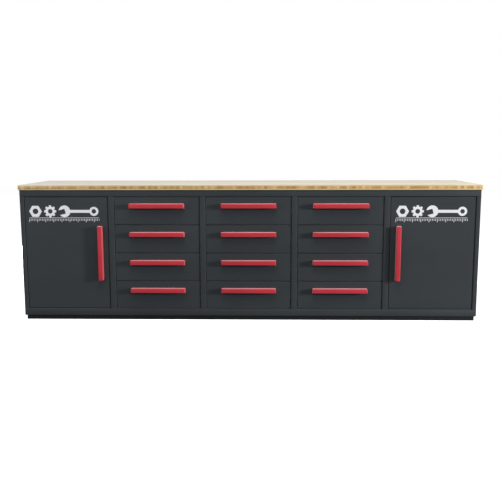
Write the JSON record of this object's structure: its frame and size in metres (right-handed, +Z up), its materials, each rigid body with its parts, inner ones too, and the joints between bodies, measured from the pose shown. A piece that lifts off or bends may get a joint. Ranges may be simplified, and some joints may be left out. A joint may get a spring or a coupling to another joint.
{
  "type": "workbench with drawers",
  "caption": "Long workshop bench: sheet-steel base cabinet with hinged doors at both ends and sliding drawers between them, under a laminated wood worktop.",
  "frame": {"origin": "on the floor, under the middle of the bench's overall box, handles included", "axes": "+X along the bench to the right as seen from the front, +Y from the front to the back, +Z up"},
  "size_m": [2.812, 0.6262, 0.838],
  "materials": {
    "body_paint": "anthracite powder coat, fine texture, satin",
    "plinth_paint": "black powder coat, matt",
    "handle_paint": "red powder coat, satin",
    "worktop_wood": "laminated light wood, clear matt lacquer",
    "pin_steel": "zinc-plated steel",
    "catch_plastic": "black moulded plastic"
  },
  "bodies": {
    "carcass": {"worktop": "worktop_wood", "top_pan": "body_paint", "base_pan": "body_paint", "plinth": "plinth_paint", "back_panel": "body_paint", "side_panel_left": "body_paint", "shelf_left": "body_paint", "door_left_pin_lower": "pin_steel", "door_left_pin_upper": "pin_steel", "door_left_catch": "catch_plastic", "side_panel_right": "body_paint", "shelf_right": "body_paint", "door_right_pin_lower": "pin_steel", "door_right_pin_upper": "pin_steel", "door_right_catch": "catch_plastic", "divider_1": "body_paint", "divider_2": "body_paint", "divider_3": "body_paint", "divider_4": "body_paint"},
    "door_left": {"door_left": "body_paint", "door_left_handle": "handle_paint"},
    "door_right": {"door_right": "body_paint", "door_right_handle": "handle_paint"},
    "drawer_left_1": {"drawer_left_1_front": "body_paint", "drawer_left_1_tray": "body_paint", "drawer_left_1_handle": "handle_paint"},
    "drawer_left_2": {"drawer_left_2_front": "body_paint", "drawer_left_2_tray": "body_paint", "drawer_left_2_handle": "handle_paint"},
    "drawer_left_3": {"drawer_left_3_front": "body_paint", "drawer_left_3_tray": "body_paint", "drawer_left_3_handle": "handle_paint"},
    "drawer_left_4": {"drawer_left_4_front": "body_paint", "drawer_left_4_tray": "body_paint", "drawer_left_4_handle": "handle_paint"},
    "drawer_middle_1": {"drawer_middle_1_front": "body_paint", "drawer_middle_1_tray": "body_paint", "drawer_middle_1_handle": "handle_paint"},
    "drawer_middle_2": {"drawer_middle_2_front": "body_paint", "drawer_middle_2_tray": "body_paint", "drawer_middle_2_handle": "handle_paint"},
    "drawer_middle_3": {"drawer_middle_3_front": "body_paint", "drawer_middle_3_tray": "body_paint", "drawer_middle_3_handle": "handle_paint"},
    "drawer_middle_4": {"drawer_middle_4_front": "body_paint", "drawer_middle_4_tray": "body_paint", "drawer_middle_4_handle": "handle_paint"},
    "drawer_right_1": {"drawer_right_1_front": "body_paint", "drawer_right_1_tray": "body_paint", "drawer_right_1_handle": "handle_paint"},
    "drawer_right_2": {"drawer_right_2_front": "body_paint", "drawer_right_2_tray": "body_paint", "drawer_right_2_handle": "handle_paint"},
    "drawer_right_3": {"drawer_right_3_front": "body_paint", "drawer_right_3_tray": "body_paint", "drawer_right_3_handle": "handle_paint"},
    "drawer_right_4": {"drawer_right_4_front": "body_paint", "drawer_right_4_tray": "body_paint", "drawer_right_4_handle": "handle_paint"}
  },
  "joints": [
    {"name": "door_left_hinge", "type": "hinge", "parent": "carcass", "child": "door_left", "pos_m": [-1.365, -0.27785, 0.4195], "axis": [0, 0, -1], "range_deg": [0, 105]},
    {"name": "door_right_hinge", "type": "hinge", "parent": "carcass", "child": "door_right", "pos_m": [1.365, -0.27785, 0.4195], "axis": [0, 0, 1], "range_deg": [0, 105]},
    {"name": "drawer_left_1_slide", "type": "slide", "parent": "carcass", "child": "drawer_left_1", "axis": [0, -1, 0], "range_m": [0, 0.4]},
    {"name": "drawer_left_2_slide", "type": "slide", "parent": "carcass", "child": "drawer_left_2", "axis": [0, -1, 0], "range_m": [0, 0.4]},
    {"name": "drawer_left_3_slide", "type": "slide", "parent": "carcass", "child": "drawer_left_3", "axis": [0, -1, 0], "range_m": [0, 0.4]},
    {"name": "drawer_left_4_slide", "type": "slide", "parent": "carcass", "child": "drawer_left_4", "axis": [0, -1, 0], "range_m": [0, 0.4]},
    {"name": "drawer_middle_1_slide", "type": "slide", "parent": "carcass", "child": "drawer_middle_1", "axis": [0, -1, 0], "range_m": [0, 0.4]},
    {"name": "drawer_middle_2_slide", "type": "slide", "parent": "carcass", "child": "drawer_middle_2", "axis": [0, -1, 0], "range_m": [0, 0.4]},
    {"name": "drawer_middle_3_slide", "type": "slide", "parent": "carcass", "child": "drawer_middle_3", "axis": [0, -1, 0], "range_m": [0, 0.4]},
    {"name": "drawer_middle_4_slide", "type": "slide", "parent": "carcass", "child": "drawer_middle_4", "axis": [0, -1, 0], "range_m": [0, 0.4]},
    {"name": "drawer_right_1_slide", "type": "slide", "parent": "carcass", "child": "drawer_right_1", "axis": [0, -1, 0], "range_m": [0, 0.4]},
    {"name": "drawer_right_2_slide", "type": "slide", "parent": "carcass", "child": "drawer_right_2", "axis": [0, -1, 0], "range_m": [0, 0.4]},
    {"name": "drawer_right_3_slide", "type": "slide", "parent": "carcass", "child": "drawer_right_3", "axis": [0, -1, 0], "range_m": [0, 0.4]},
    {"name": "drawer_right_4_slide", "type": "slide", "parent": "carcass", "child": "drawer_right_4", "axis": [0, -1, 0], "range_m": [0, 0.4]}
  ]
}
